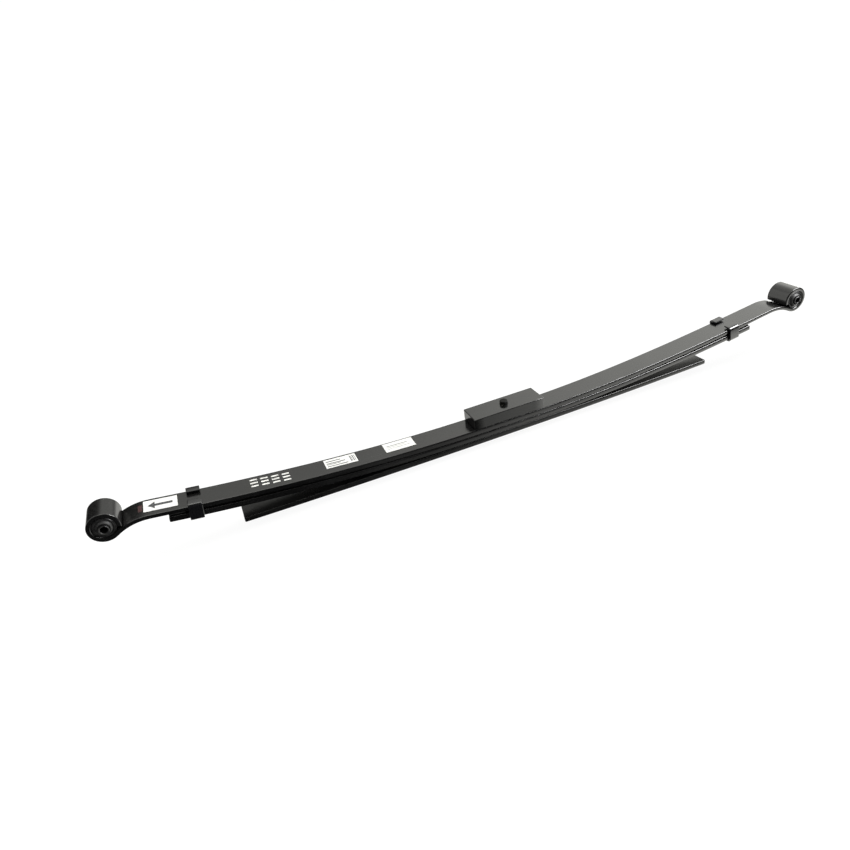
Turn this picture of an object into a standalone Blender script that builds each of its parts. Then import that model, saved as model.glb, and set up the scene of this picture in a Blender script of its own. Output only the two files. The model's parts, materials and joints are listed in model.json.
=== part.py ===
"""Rear leaf spring of a pickup truck.

Three-leaf pack: a main leaf with a rolled eye at each end, a second leaf that
backs it up to the rebound clips, and a flatter helper leaf underneath.  A
spacer block and a centre bolt hold the pack together.  Each eye carries a
rubber bush with an inner steel sleeve.

Frame: +X towards the rear eye, +Y across the leaves, +Z up.  The pieces are
drawn about the centre bolt, with z = 0 at the top of the main leaf where the
block clamps it.  At the end everything moves so that the origin is the middle
of the bottom of the whole spring's box.
"""
import math

import bmesh
import bpy
from mathutils import Matrix, Vector

MM = 0.001

# ---- driving dimensions, all in millimetres -------------------------------
LEAF_WIDTH = 60.0
CONTACT_GAP = 0.3                 # clearance kept between touching pieces

SEAT_CENTRE_X = -9.0              # lowest point of the arch, just ahead of the bolt
SEAT_HALF_LENGTH = 50.0           # flat stretch each side of the lowest point
FRONT_ARCH = (850.0, 69.0, 1.22)  # reach from the seat centre, rise there, curve share
REAR_ARCH = (850.0, 72.5, 1.40)

MAIN_THICK_SEAT = 13.0
MAIN_THICK_END = 9.0
TAPER_START = 90.0
TAPER_END = 720.0
SECOND_THICK = 12.6
HELPER_THICK_SEAT = 12.8
HELPER_THICK_END = 11.0
LEAF_GAP_SLOPE = 0.0078           # how fast main and second leaf part from each other

SECOND_ENDS = (-750.0, 684.0)
HELPER_ENDS = (-618.0, 550.0)
HELPER_END_RISES = (6.7, 8.3)

EYE_RADIUS = 31.4
FRONT_EYE = (-862.8, 61.2)
REAR_EYE = (826.2, 65.6)
EYE_DIP_RADIUS = 100.0            # bend that takes the leaf down under each eye
EYE_TAIL_DEG = 14.0               # the rolled tail stops this far below the eye's centre line

BLOCK_LENGTH = 176.5
BLOCK_HEIGHT = 25.8
BLOCK_LIFT = 0.65
BLOCK_EDGE = 3.5

BOLT_SHANK_R = 6.0
BOLT_HEAD_R = 9.0
BOLT_HEAD_PROUD = 8.7
BOLT_HEAD_SUNK = 5.4
BOLT_HOLE_R = 6.5
NUT_ACROSS_FLATS = 19.0
NUT_HEIGHT = 8.0
BOLT_TAIL = 1.8

CLIP_WIDTH = 27.0
CLIP_THICK = 5.0
CLIP_SIDE_GAP = 0.8
CLIP_LOW_BEND_R = 7.0
CLIP_TOP_BEND_R = 5.5
CLIP_TAB_BEND_DEG = 88.0
CLIP_TAB_LENGTH = 13.5
CLIP_TAB_GAP = 2.4
FRONT_CLIP_X = -696.5
REAR_CLIP_X = 629.0

RIVET_R = 4.0
RIVET_HOLE_R = 4.4
RIVET_HEAD_R = 7.0
RIVET_HEAD_HEIGHT = 3.6

LINER_WIDTH = 50.0
LINER_SPANS = ((-748.0, -718.0), (648.0, 682.0))

SHELL_OUTER_R = 22.0
SHELL_INNER_R = 20.5
SHELL_HALF = 29.6
RUBBER_INNER_R = 10.3
SLEEVE_OUTER_R = 10.0
SLEEVE_BORE_R = 7.0
SLEEVE_HALF = 36.5
ROUND_STEPS = 40

LABEL_THICK = 0.3
LABELS = {                        # start x, end x, centre y, width
    "front_label": (-790.5, -727.5, 2.7, 38.5),
    "stock_label": (-428.0, -358.0, 6.0, 34.5),
    "inspection_label": (-294.0, -225.0, 7.0, 36.0),
}

FINISHES = {                      # base colour, metallic, roughness
    "leaf_paint": ((0.012, 0.012, 0.013, 1.0), 0.0, 0.28),
    "block_paint": ((0.014, 0.014, 0.014, 1.0), 0.0, 0.30),
    "clip_paint": ((0.015, 0.015, 0.017, 1.0), 0.0, 0.35),
    "bolt_steel": ((0.030, 0.030, 0.028, 1.0), 0.6, 0.40),
    "rubber": ((0.020, 0.020, 0.020, 1.0), 0.0, 0.75),
    "sleeve_steel": ((0.060, 0.060, 0.060, 1.0), 0.8, 0.42),
    "liner_plastic": ((0.035, 0.035, 0.035, 1.0), 0.0, 0.60),
    "label_paper": ((0.800, 0.800, 0.790, 1.0), 0.0, 0.55),
}


# ---- the scene and the materials ------------------------------------------
def clear_scene():
    for item in list(bpy.data.objects):
        bpy.data.objects.remove(item, do_unlink=True)


def make_finish(name):
    colour, metallic, roughness = FINISHES[name]
    material = bpy.data.materials.new(name)
    material.use_nodes = True
    shader = material.node_tree.nodes["Principled BSDF"]
    shader.inputs["Base Color"].default_value = colour
    shader.inputs["Metallic"].default_value = metallic
    shader.inputs["Roughness"].default_value = roughness
    return material


def add_object(name, mesh_maker, finish, matrix=None, smooth_deg=35.0):
    """New object from a bmesh: metres, normals outwards, smooth over soft edges."""
    bmesh.ops.remove_doubles(mesh_maker, verts=mesh_maker.verts, dist=1e-7)
    bmesh.ops.recalc_face_normals(mesh_maker, faces=mesh_maker.faces)
    for face in mesh_maker.faces:
        face.smooth = True
    for edge in mesh_maker.edges:
        if len(edge.link_faces) == 2:
            edge.smooth = edge.calc_face_angle() < math.radians(smooth_deg)
    mesh = bpy.data.meshes.new(name)
    mesh_maker.to_mesh(mesh)
    mesh_maker.free()
    mesh.materials.append(make_finish(finish))
    item = bpy.data.objects.new(name, mesh)
    bpy.context.scene.collection.objects.link(item)
    if matrix is not None:
        item.matrix_world = matrix
    return item


# ---- the leaves' shape in the side view ------------------------------------
def arch_top(x):
    """Height of the main leaf's top face."""
    reach, rise, share = FRONT_ARCH if x < SEAT_CENTRE_X else REAR_ARCH
    along = max(0.0, abs(x - SEAT_CENTRE_X) - SEAT_HALF_LENGTH) / (reach - SEAT_HALF_LENGTH)
    return rise * (share * along ** 2 + (1.0 - share) * along ** 3)


def main_thickness(x):
    """Parabolic taper from the seat to the ends."""
    part = (abs(x - SEAT_CENTRE_X) - TAPER_START) / (TAPER_END - TAPER_START)
    part = min(1.0, max(0.0, part))
    return MAIN_THICK_END + (MAIN_THICK_SEAT - MAIN_THICK_END) * math.sqrt(1.0 - part)


def leaf_gap(x):
    return CONTACT_GAP + LEAF_GAP_SLOPE * max(0.0, abs(x - SEAT_CENTRE_X) - TAPER_START)


def second_top(x):
    return arch_top(x) - main_thickness(x) - leaf_gap(x)


def helper_thickness(x):
    end = HELPER_ENDS[0] if x < SEAT_CENTRE_X else HELPER_ENDS[1]
    part = abs(x - SEAT_CENTRE_X) / abs(end - SEAT_CENTRE_X)
    return HELPER_THICK_SEAT + (HELPER_THICK_END - HELPER_THICK_SEAT) * part ** 2


def helper_bottom(x):
    side = 0 if x < SEAT_CENTRE_X else 1
    reach = abs(HELPER_ENDS[side] - SEAT_CENTRE_X) - SEAT_HALF_LENGTH
    along = max(0.0, abs(x - SEAT_CENTRE_X) - SEAT_HALF_LENGTH) / reach
    lowest = -(MAIN_THICK_SEAT + SECOND_THICK + HELPER_THICK_SEAT + 2.2 * CONTACT_GAP)
    return lowest + HELPER_END_RISES[side] * along ** 2


def helper_top(x):
    return helper_bottom(x) + helper_thickness(x)


def slope_normal(top, x):
    """Unit vector out of a top face, in the XZ plane."""
    step = 0.5
    slope = (top(x + step) - top(x - step)) / (2.0 * step)
    return Vector((-slope, 0.0, 1.0)).normalized()


def leaf_frame(x):
    """Axes that stand on the main leaf's top face at x, for clips and their rivets."""
    up = slope_normal(arch_top, x)
    along = Vector((up.z, 0.0, -up.x))
    place = Matrix.Identity(4)
    for row in range(3):
        place[row][0] = along[row]
        place[row][1] = (0.0, 1.0, 0.0)[row]
        place[row][2] = up[row]
    place.translation = Vector((x, 0.0, arch_top(x))) * MM
    return place


# ---- swept bars --------------------------------------------------------------
def bar_ring(station, across, half_width, offset, corner):
    """Rounded rectangle round a station: (centre, normal, thickness, inset)."""
    centre, normal, thickness, inset = station
    radius = min(corner, 0.45 * thickness)
    wide = half_width - inset
    deep = thickness / 2.0 - min(inset, 0.3 * thickness)
    ring = []
    for index, (sign_w, sign_d) in enumerate(((1, 1), (-1, 1), (-1, -1), (1, -1))):
        for step in (0, 1, 2):
            turn = math.radians(90.0 * index + 45.0 * step)
            w = sign_w * (wide - radius) + radius * math.cos(turn)
            d = sign_d * (deep - radius) + radius * math.sin(turn)
            ring.append(centre + across * (w + offset) + normal * d)
    return ring


def sweep_bar(stations, across, half_width, corner, offset=0.0):
    """Closed solid through the stations, one rounded section at each of them."""
    maker = bmesh.new()
    previous = None
    for station in stations:
        ring = [maker.verts.new(p * MM) for p in bar_ring(station, across, half_width, offset, corner)]
        if previous is None:
            maker.faces.new(ring)
        else:
            count = len(ring)
            for index in range(count):
                after = (index + 1) % count
                maker.faces.new((previous[index], previous[after], ring[after], ring[index]))
        previous = ring
    maker.faces.new(reversed(previous))
    return maker


def face_stations(top, thickness, start, end, steps, inset=0.0):
    """Stations under a top face from start to end; inset chamfers both ends."""
    places = [start + (end - start) * index / steps for index in range(steps + 1)]
    if inset > 0.0:
        places.insert(1, start + math.copysign(inset, end - start))
        places.insert(-1, end - math.copysign(inset, end - start))
    stations = []
    for index, x in enumerate(places):
        normal = slope_normal(top, x)
        thick = thickness(x)
        centre = Vector((x, 0.0, top(x))) - normal * (thick / 2.0)
        at_end = index in (0, len(places) - 1)
        stations.append((centre, normal, thick, inset if at_end else 0.0))
    return stations


ACROSS = Vector((0.0, 1.0, 0.0))


# ---- main leaf ----------------------------------------------------------------
def dip_circle(side, eye):
    """Bend that leaves the arch and touches the eye's centre line from outside."""
    rolled = EYE_RADIUS - MAIN_THICK_END / 2.0
    eye_centre = Vector((eye[0], 0.0, eye[1]))

    def at(distance):
        x = SEAT_CENTRE_X + side * distance
        normal = slope_normal(arch_top, x)
        start = Vector((x, 0.0, arch_top(x))) - normal * (MAIN_THICK_END / 2.0)
        return x, start - normal * EYE_DIP_RADIUS

    low = TAPER_END
    high = abs(eye[0] - SEAT_CENTRE_X)
    for _ in range(50):
        middle = (low + high) / 2.0
        if (at(middle)[1] - eye_centre).length > EYE_DIP_RADIUS + rolled:
            low = middle
        else:
            high = middle
    x, centre = at(low)
    return x, centre, eye_centre, rolled


def arc_stations(centre, radius, start_deg, end_deg, steps, skip_first):
    """Stations round a circle in the XZ plane, normals pointing out of it."""
    stations = []
    for index in range(1 if skip_first else 0, steps + 1):
        turn = math.radians(start_deg + (end_deg - start_deg) * index / steps)
        out = Vector((math.cos(turn), 0.0, math.sin(turn)))
        stations.append((centre + out * radius, out, MAIN_THICK_END, 0.0))
    return stations


def degrees_of(vector):
    return math.degrees(math.atan2(vector.z, vector.x))


def end_stations(side, eye):
    """The dip and the rolled eye of one end, from the arch outwards."""
    x, dip_centre, eye_centre, rolled = dip_circle(side, eye)
    start = Vector((x, 0.0, arch_top(x))) - slope_normal(arch_top, x) * (MAIN_THICK_END / 2.0)
    touch = eye_centre - dip_centre
    dip = arc_stations(dip_centre, EYE_DIP_RADIUS, degrees_of(start - dip_centre),
                       degrees_of(touch), 9, True)
    begin = degrees_of(-touch)
    if side < 0:
        finish = -EYE_TAIL_DEG - 360.0
        while finish > begin - 180.0:
            finish -= 360.0
        while finish < begin - 360.0:
            finish += 360.0
    else:
        finish = 180.0 + EYE_TAIL_DEG
        while finish < begin + 180.0:
            finish += 360.0
    eye_part = arc_stations(eye_centre, rolled, begin, finish, 30, True)
    # round the eye the outward normal is the leaf's lower face, so it is turned over
    flipped = [(centre, -normal, thick, inset) for centre, normal, thick, inset in eye_part]
    return x, dip + flipped


def make_main_leaf():
    front_x, front_end = end_stations(-1, FRONT_EYE)
    rear_x, rear_end = end_stations(1, REAR_EYE)
    span = face_stations(arch_top, main_thickness, front_x, rear_x, 46)
    stations = list(reversed(front_end)) + span + rear_end
    maker = sweep_bar(stations, ACROSS, LEAF_WIDTH / 2.0, 3.2)
    leaf = add_object("main_leaf", maker, "leaf_paint")
    drill(leaf, Matrix.Identity(4), BOLT_HOLE_R, "bolt_hole_main")
    return leaf


# ---- holes ----------------------------------------------------------------------
def drill(item, place, radius, name, depth=120.0, centre_z=0.0):
    """Round hole along the local Z of a placement."""
    maker = bmesh.new()
    bmesh.ops.create_cone(maker, cap_ends=True, segments=24, radius1=radius * MM,
                          radius2=radius * MM, depth=depth * MM)
    bmesh.ops.translate(maker, verts=maker.verts, vec=(0.0, 0.0, centre_z * MM))
    cutter = add_object("cut_" + name, maker, "leaf_paint", place)
    cutter.display_type = "WIRE"
    cutter.hide_render = True
    hole = item.modifiers.new(name, "BOOLEAN")
    hole.operation = "DIFFERENCE"
    hole.object = cutter


# ---- second and helper leaves ------------------------------------------------------
def make_second_leaf():
    stations = face_stations(second_top, lambda x: SECOND_THICK, *SECOND_ENDS, 36, 1.5)
    maker = sweep_bar(stations, ACROSS, LEAF_WIDTH / 2.0, 3.2)
    leaf = add_object("second_leaf", maker, "leaf_paint")
    drill(leaf, Matrix.Identity(4), BOLT_HOLE_R, "bolt_hole_second")
    for name, x in (("front", FRONT_CLIP_X), ("rear", REAR_CLIP_X)):
        drill(leaf, leaf_frame(x), RIVET_HOLE_R, name + "_rivet_hole")


def make_helper_leaf():
    stations = face_stations(helper_top, helper_thickness, *HELPER_ENDS, 30, 1.5)
    maker = sweep_bar(stations, ACROSS, LEAF_WIDTH / 2.0, 3.2)
    leaf = add_object("helper_leaf", maker, "leaf_paint")
    drill(leaf, Matrix.Identity(4), BOLT_HOLE_R, "bolt_hole_helper")


def make_tip_liner(name, start, end):
    """Anti-friction pad that fills the gap between main and second leaf at an end."""
    def top(x):
        return arch_top(x) - main_thickness(x) / slope_normal(arch_top, x).z - 2.0 * CONTACT_GAP

    def thickness(x):
        return top(x) - second_top(x) - 2.0 * CONTACT_GAP

    stations = face_stations(top, thickness, start, end, 3, 0.6)
    maker = sweep_bar(stations, ACROSS, LINER_WIDTH / 2.0, 1.0)
    add_object(name, maker, "liner_plastic")


# ---- block, bolt and nut --------------------------------------------------------
def make_spacer_block():
    maker = bmesh.new()
    bmesh.ops.create_cube(maker, size=1.0)
    bmesh.ops.scale(maker, verts=maker.verts,
                    vec=(BLOCK_LENGTH * MM, LEAF_WIDTH * MM, BLOCK_HEIGHT * MM))
    bmesh.ops.translate(maker, verts=maker.verts,
                        vec=(0.0, 0.0, (BLOCK_LIFT + BLOCK_HEIGHT / 2.0) * MM))
    bmesh.ops.bevel(maker, geom=list(maker.edges), offset=BLOCK_EDGE * MM, segments=3,
                    affect="EDGES", profile=0.5)
    block = add_object("spacer_block", maker, "block_paint")
    drill(block, Matrix.Identity(4), BOLT_HOLE_R, "bolt_hole_block")
    top = BLOCK_LIFT + BLOCK_HEIGHT
    depth = 2.0 * (BOLT_HEAD_SUNK + CONTACT_GAP)
    drill(block, Matrix.Identity(4), BOLT_HEAD_R + CONTACT_GAP + 0.1, "bolt_head_recess",
          depth, top)


def turned(outline, closed, axis, centre, steps=ROUND_STEPS):
    """Solid of revolution.  The outline is (radius, position along the axis)."""
    maker = bmesh.new()
    side = Vector((1.0, 0.0, 0.0))
    points = [maker.verts.new((side * r + axis * a) * MM) for r, a in outline]
    edges = [maker.edges.new(pair) for pair in zip(points, points[1:])]
    if closed:
        edges.append(maker.edges.new((points[-1], points[0])))
    bmesh.ops.spin(maker, geom=points + edges, cent=(0.0, 0.0, 0.0), axis=axis,
                   angle=math.tau, steps=steps, use_merge=True)
    bmesh.ops.remove_doubles(maker, verts=maker.verts, dist=1e-6)
    bmesh.ops.translate(maker, verts=maker.verts, vec=centre * MM)
    return maker


def pack_bottom():
    return helper_bottom(SEAT_CENTRE_X)


def bolt_bottom():
    return pack_bottom() - CONTACT_GAP - NUT_HEIGHT - BOLT_TAIL


def make_centre_bolt():
    head_top = BLOCK_LIFT + BLOCK_HEIGHT + BOLT_HEAD_PROUD
    head_base = BLOCK_LIFT + BLOCK_HEIGHT - BOLT_HEAD_SUNK
    tail = bolt_bottom()
    outline = (
        (0.0, head_top), (BOLT_HEAD_R - 1.2, head_top), (BOLT_HEAD_R - 0.3, head_top - 0.4),
        (BOLT_HEAD_R, head_top - 1.3), (BOLT_HEAD_R, head_base), (BOLT_SHANK_R, head_base),
        (BOLT_SHANK_R, tail + 1.0), (BOLT_SHANK_R - 1.0, tail), (0.0, tail),
    )
    maker = turned(outline, False, Vector((0.0, 0.0, 1.0)), Vector((0.0, 0.0, 0.0)), 32)
    add_object("centre_bolt", maker, "bolt_steel")


def make_centre_bolt_nut():
    maker = bmesh.new()
    corner_r = NUT_ACROSS_FLATS / math.sqrt(3.0)
    bmesh.ops.create_cone(maker, cap_ends=True, segments=6, radius1=corner_r * MM,
                          radius2=corner_r * MM, depth=NUT_HEIGHT * MM)
    bmesh.ops.bevel(maker, geom=list(maker.edges), offset=0.5 * MM, segments=1, affect="EDGES")
    middle = pack_bottom() - CONTACT_GAP - NUT_HEIGHT / 2.0
    bmesh.ops.translate(maker, verts=maker.verts, vec=(0.0, 0.0, middle * MM))
    nut = add_object("centre_bolt_nut", maker, "bolt_steel")
    drill(nut, Matrix.Identity(4), BOLT_SHANK_R + CONTACT_GAP, "nut_thread", 40.0, middle)


# ---- rebound clips and their rivets -----------------------------------------------
def second_depth(x):
    """Distance from the main leaf's top face to the second leaf's lower face."""
    return (arch_top(x) - second_top(x)) * slope_normal(arch_top, x).z + SECOND_THICK


def clip_stations(depth):
    """Centre line of the strap in the plane across the leaf, far tab to near tab."""
    half = CLIP_THICK / 2.0
    side_y = LEAF_WIDTH / 2.0 + CLIP_SIDE_GAP + half
    floor_z = -depth - CONTACT_GAP - half
    bend_z = CLIP_TAB_GAP + half - CLIP_TOP_BEND_R
    along = Vector((0.0, 1.0, 0.0))
    up = Vector((0.0, 0.0, 1.0))

    def corner(radius, centre_z, start_deg, end_deg, steps):
        places = []
        for index in range(steps + 1):
            turn = math.radians(start_deg + (end_deg - start_deg) * index / steps)
            out = along * math.cos(turn) + up * math.sin(turn)
            places.append((along * (side_y - radius) + up * centre_z + out * radius, out))
        return places

    tab = corner(CLIP_TOP_BEND_R, bend_z, CLIP_TAB_BEND_DEG, 0.0, 5)
    first, first_out = tab[0]
    direction = Vector((0.0, -first_out.z, first_out.y))
    tab_end = (first + direction * CLIP_TAB_LENGTH, first_out)
    low = corner(CLIP_LOW_BEND_R, floor_z + CLIP_LOW_BEND_R, 0.0, -90.0, 5)
    half_path = [tab_end] + tab + low
    mirrored = [(Vector((0.0, -p.y, p.z)), Vector((0.0, -n.y, n.z))) for p, n in reversed(half_path)]
    path = half_path + mirrored
    stations = []
    for index, (point, normal) in enumerate(path):
        inset = 1.0 if index in (0, len(path) - 1) else 0.0
        stations.append((point, normal, CLIP_THICK, inset))
    return stations


def make_clip(name, x):
    maker = sweep_bar(clip_stations(second_depth(x)), Vector((1.0, 0.0, 0.0)),
                      CLIP_WIDTH / 2.0, 1.2)
    clip = add_object(name, maker, "clip_paint", leaf_frame(x))
    drill(clip, leaf_frame(x), RIVET_HOLE_R, name + "_hole", 12.0, -second_depth(x) - 4.0)


def make_rivet(name, x):
    """Round-headed rivet that ties a clip to the second leaf, flush on top."""
    depth = second_depth(x)
    top = -depth + SECOND_THICK - 0.6
    seat = -depth - CLIP_THICK - 2.0 * CONTACT_GAP
    outline = [(0.0, top), (RIVET_R - 0.4, top), (RIVET_R, top - 0.4), (RIVET_R, seat),
               (RIVET_HEAD_R, seat)]
    for step in range(1, 5):
        turn = math.radians(90.0 * step / 4.0)
        outline.append((RIVET_HEAD_R * math.cos(turn), seat - RIVET_HEAD_HEIGHT * math.sin(turn)))
    outline[-1] = (0.0, seat - RIVET_HEAD_HEIGHT)
    maker = turned(outline, False, Vector((0.0, 0.0, 1.0)), Vector((0.0, 0.0, 0.0)), 24)
    add_object(name, maker, "clip_paint", leaf_frame(x))


# ---- eye bushes ---------------------------------------------------------------------
def make_bush(end, eye):
    """Outer shell, rubber and inner sleeve of one eye, each with its origin on the eye axis."""
    place = Matrix.Translation(Vector((eye[0], 0.0, eye[1])) * MM)
    zero = Vector((0.0, 0.0, 0.0))
    shell = (
        (SHELL_OUTER_R, -SHELL_HALF), (SHELL_OUTER_R, SHELL_HALF),
        (SHELL_INNER_R, SHELL_HALF), (SHELL_INNER_R, -SHELL_HALF),
    )
    add_object(end + "_bush_shell", turned(shell, True, ACROSS, zero), "sleeve_steel", place)

    outer = SHELL_INNER_R - CONTACT_GAP
    face = SHELL_HALF - 0.6
    half = (
        (outer, face - 0.8), (outer - 1.0, face), (outer - 3.4, face + 0.4),
        (RUBBER_INNER_R + 4.0, face + 3.2), (RUBBER_INNER_R + 1.6, face + 3.8),
        (RUBBER_INNER_R, face + 3.4),
    )
    rubber = half + tuple((r, -a) for r, a in reversed(half))
    add_object(end + "_bush_rubber", turned(rubber, True, ACROSS, zero), "rubber", place)

    half = (
        (SLEEVE_OUTER_R, SLEEVE_HALF - 0.8), (SLEEVE_OUTER_R - 0.8, SLEEVE_HALF),
        (SLEEVE_BORE_R + 0.8, SLEEVE_HALF), (SLEEVE_BORE_R, SLEEVE_HALF - 0.8),
    )
    sleeve = half + tuple((r, -a) for r, a in reversed(half))
    add_object(end + "_bush_sleeve", turned(sleeve, True, ACROSS, zero), "sleeve_steel", place)


# ---- labels -------------------------------------------------------------------------
def make_label(name, start, end, centre_y, width):
    def top(x):
        return arch_top(x) + CONTACT_GAP + LABEL_THICK

    stations = face_stations(top, lambda x: LABEL_THICK, start, end, 5)
    maker = sweep_bar(stations, ACROSS, width / 2.0, 0.02, centre_y)
    add_object(name, maker, "label_paper")


def move_to_base():
    """Puts the origin in the middle of the bottom of the spring's box."""
    front = FRONT_EYE[0] - EYE_RADIUS
    rear = REAR_EYE[0] + EYE_RADIUS
    shift = Vector((-(front + rear) / 2.0, 0.0, -bolt_bottom())) * MM
    for item in bpy.data.objects:
        item.location += shift


def main():
    clear_scene()
    make_main_leaf()
    make_second_leaf()
    make_helper_leaf()
    make_spacer_block()
    make_centre_bolt()
    make_centre_bolt_nut()
    for end, x, eye, span in (("front", FRONT_CLIP_X, FRONT_EYE, LINER_SPANS[0]),
                              ("rear", REAR_CLIP_X, REAR_EYE, LINER_SPANS[1])):
        make_clip(end + "_clip", x)
        make_rivet(end + "_clip_rivet", x)
        make_tip_liner(end + "_tip_liner", *span)
        make_bush(end, eye)
    for name, values in LABELS.items():
        make_label(name, *values)
    move_to_base()


main()
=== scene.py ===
import json
import math

import bmesh
import bpy
from mathutils import Matrix, Vector
from mathutils.bvhtree import BVHTree


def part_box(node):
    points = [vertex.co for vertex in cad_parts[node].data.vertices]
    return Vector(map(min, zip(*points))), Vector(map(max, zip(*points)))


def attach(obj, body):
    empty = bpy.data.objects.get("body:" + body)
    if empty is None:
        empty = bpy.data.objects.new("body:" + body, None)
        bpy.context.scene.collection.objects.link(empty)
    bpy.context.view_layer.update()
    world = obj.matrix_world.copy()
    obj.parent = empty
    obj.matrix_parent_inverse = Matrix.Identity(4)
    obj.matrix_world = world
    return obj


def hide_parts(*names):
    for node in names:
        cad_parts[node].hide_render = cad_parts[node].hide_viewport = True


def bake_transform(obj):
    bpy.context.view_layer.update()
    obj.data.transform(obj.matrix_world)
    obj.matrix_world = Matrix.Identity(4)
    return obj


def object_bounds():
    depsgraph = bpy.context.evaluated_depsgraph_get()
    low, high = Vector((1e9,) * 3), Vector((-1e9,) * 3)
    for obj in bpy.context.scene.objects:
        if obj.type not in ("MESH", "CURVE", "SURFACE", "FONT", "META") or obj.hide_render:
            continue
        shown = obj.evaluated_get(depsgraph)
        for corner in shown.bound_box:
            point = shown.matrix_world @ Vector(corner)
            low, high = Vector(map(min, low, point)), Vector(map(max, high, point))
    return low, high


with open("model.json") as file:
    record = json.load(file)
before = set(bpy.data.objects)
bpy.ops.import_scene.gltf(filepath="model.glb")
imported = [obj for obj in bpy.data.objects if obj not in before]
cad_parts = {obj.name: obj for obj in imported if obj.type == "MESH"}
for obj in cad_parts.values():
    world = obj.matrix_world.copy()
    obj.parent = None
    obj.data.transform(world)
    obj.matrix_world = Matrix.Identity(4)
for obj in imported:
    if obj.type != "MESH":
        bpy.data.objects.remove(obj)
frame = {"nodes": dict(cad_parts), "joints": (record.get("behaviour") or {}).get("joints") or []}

MM = 0.001
UP = Vector((0.0, 0.0, 1.0))
ACROSS = Vector((0.0, 1.0, 0.0))
ALONG = Vector((1.0, 0.0, 0.0))

CAD_LOW, CAD_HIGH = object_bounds()
CENTRE = (CAD_LOW + CAD_HIGH) / 2.0
JOINTS = {joint["name"]: joint for joint in frame["joints"]}
SIDES = {"front": -1.0, "rear": 1.0}
EYES = {end: Vector(JOINTS[end + "_sleeve_twist"]["pos_m"]) for end in SIDES}
BOLT_X = sum(corner.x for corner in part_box("centre_bolt")) / 2.0
LEAF_HALF_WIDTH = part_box("main_leaf")[1].y

# The camera, seen from the middle of the spring's box
CAMERA_OFFSET = Vector((-0.5500, -1.1796, 0.7561))
CAMERA_HEADING_DEG = 17.58        # turned from +Y towards +X
CAMERA_DOWN_DEG = 30.96
CAMERA_ROLL_DEG = -8.97
CAMERA_LENS_MM = 27.744

# Lamps, also seen from the middle of the box
KEY_LIGHT_OFFSET = Vector((2.3, -1.12, 1.65))
KEY_LIGHT_SPAN = Vector((0.95, 0.15, -0.27))
KEY_LIGHT_SIZE = (2.0, 1.2)
KEY_LIGHT_WATTS = 300.0
FILL_LIGHT_OFFSET = Vector((0.2, 0.3, 3.0))
FILL_LIGHT_SPREAD_DEG = 70.0
FILL_LIGHT_STRENGTH = 0.3

# Floor: mostly its own glow, so that only a faint shadow is left
FLOOR_SHADE = 0.12
FLOOR_GLOW = 0.92
FLOOR_FLAT_R = 9.0
FLOOR_CURL_R = 2.0
FLOOR_TOP = 7.0
FLOOR_GAP = 1.0 * MM


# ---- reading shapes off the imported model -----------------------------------
def tree_of(node):
    """Ray-cast tree of a CAD node."""
    mesh = frame["nodes"][node].data
    points = [vertex.co.copy() for vertex in mesh.vertices]
    return BVHTree.FromPolygons(points, [tuple(face.vertices) for face in mesh.polygons])


def hit_height(tree, x, y, from_above):
    """Height of the highest or the lowest surface over one place."""
    start = Vector((x, y, 1.0 if from_above else -1.0))
    return tree.ray_cast(start, -UP if from_above else UP)[0].z


def depth_through(tree, point, inward):
    """Thickness of the material behind a surface point."""
    lead = 0.5 * MM
    return tree.ray_cast(point + inward * lead, inward)[3] + lead


def spaced(start, end, step):
    """Evenly spaced numbers from start to end, about a step apart."""
    count = max(1, round(abs(end - start) / step))
    return [start + (end - start) * index / count for index in range(count + 1)]


def smooth_path(points, step):
    """Catmull-Rom curve through the points, with points about a step apart."""
    padded = [points[0] * 2.0 - points[1]] + points + [points[-1] * 2.0 - points[-2]]
    path = []
    for index in range(1, len(padded) - 2):
        p0, p1, p2, p3 = padded[index - 1:index + 3]
        count = max(1, round((p2 - p1).length / step))
        for part in range(count):
            t = part / count
            path.append(0.5 * (2.0 * p1 + (p2 - p0) * t
                               + (2.0 * p0 - 5.0 * p1 + 4.0 * p2 - p3) * t * t
                               + (3.0 * p1 - p0 - 3.0 * p2 + p3) * t ** 3))
    path.append(points[-1].copy())
    return path


# ---- mesh building -----------------------------------------------------------
class Shell:
    """Points, faces and the per-point facts that the materials read."""

    def __init__(self):
        self.points = []
        self.faces = []
        self.edge = []
        self.slots = []

    def ring(self, points, edges):
        """Adds points with their edge wear, and returns their numbers."""
        first = len(self.points)
        self.points.extend(points)
        self.edge.extend(edges)
        return list(range(first, len(self.points)))

    def face(self, corners, slot=0):
        self.faces.append(tuple(corners))
        self.slots.append(slot)

    def bridge(self, ring_a, ring_b, slot=0):
        count = len(ring_a)
        for index in range(count):
            after = (index + 1) % count
            self.face((ring_a[index], ring_a[after], ring_b[after], ring_b[index]), slot)


def make_piece(name, shell, materials, sharp_deg=40.0):
    """Object from a shell, with its edge wear and its materials."""
    mesh = bpy.data.meshes.new(name)
    mesh.from_pydata([tuple(point) for point in shell.points], [], shell.faces)
    edge = mesh.attributes.new("edge_wear", "FLOAT", "POINT")
    edge.data.foreach_set("value", shell.edge)
    mesh.polygons.foreach_set("material_index", shell.slots)
    return finish_mesh(name, mesh, materials, sharp_deg)


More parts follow.
